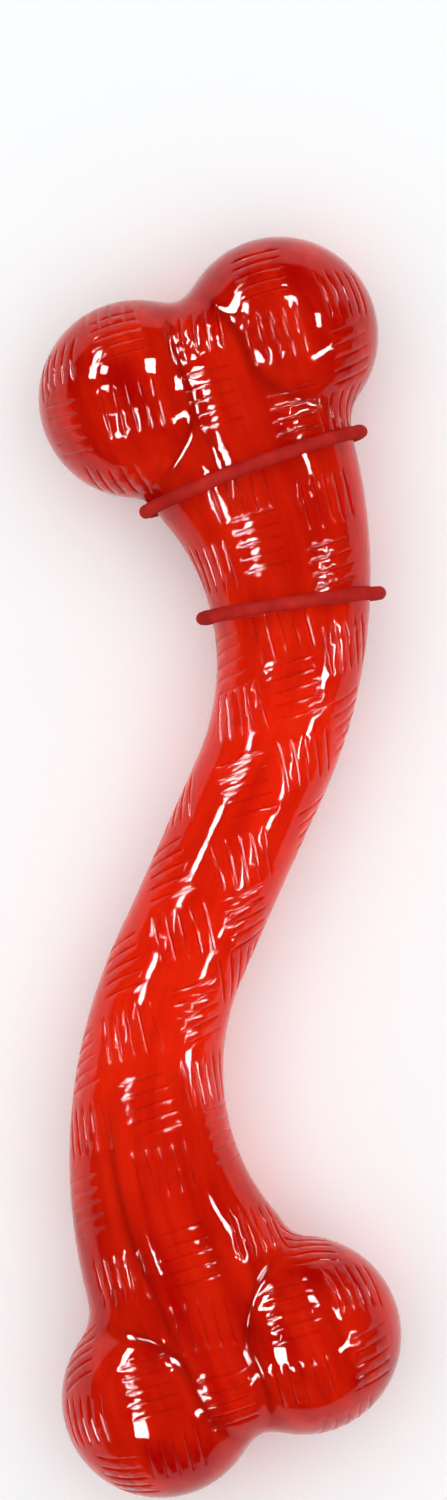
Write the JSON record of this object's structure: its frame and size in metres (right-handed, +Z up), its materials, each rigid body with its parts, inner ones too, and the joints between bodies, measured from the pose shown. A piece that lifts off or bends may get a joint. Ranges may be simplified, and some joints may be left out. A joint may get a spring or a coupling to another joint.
{
  "type": "dog chew toy",
  "caption": "Solid S-curved rubber chew bone for a dog, with paired round knobs at each end and soft wire ties twisted round its upper neck. It lies flat on any surface.",
  "frame": {"origin": "on the floor below the middle of the bone, which lies flat on its knobs", "axes": "+Y along the bone towards the tied end, +Z up from the floor, +X across the bone to the right when seen from above"},
  "size_m": [0.0878, 0.3048, 0.048],
  "materials": {
    "bone_rubber": "glossy, slightly see-through moulded rubber",
    "tie_sleeve": "matte soft coating",
    "tie_wire": "drawn wire, cut ends"
  },
  "bodies": {
    "bone": {"bone": "bone_rubber"},
    "upper_tie": {"upper_tie_sleeve": "tie_sleeve", "upper_tie_wire": "tie_wire"},
    "lower_tie": {"lower_tie_sleeve": "tie_sleeve", "lower_tie_wire": "tie_wire"}
  },
  "joints": [
    {"name": "upper_tie_slide", "type": "hinge", "parent": "bone", "child": "upper_tie", "pos_m": [-0.07083, 0.05726, 0.024], "axis": [0, 0, 1], "range_deg": [-6, 0]},
    {"name": "lower_tie_slide", "type": "hinge", "parent": "bone", "child": "lower_tie", "pos_m": [-0.07083, 0.05726, 0.024], "axis": [0, 0, 1], "range_deg": [-22, 0]}
  ]
}
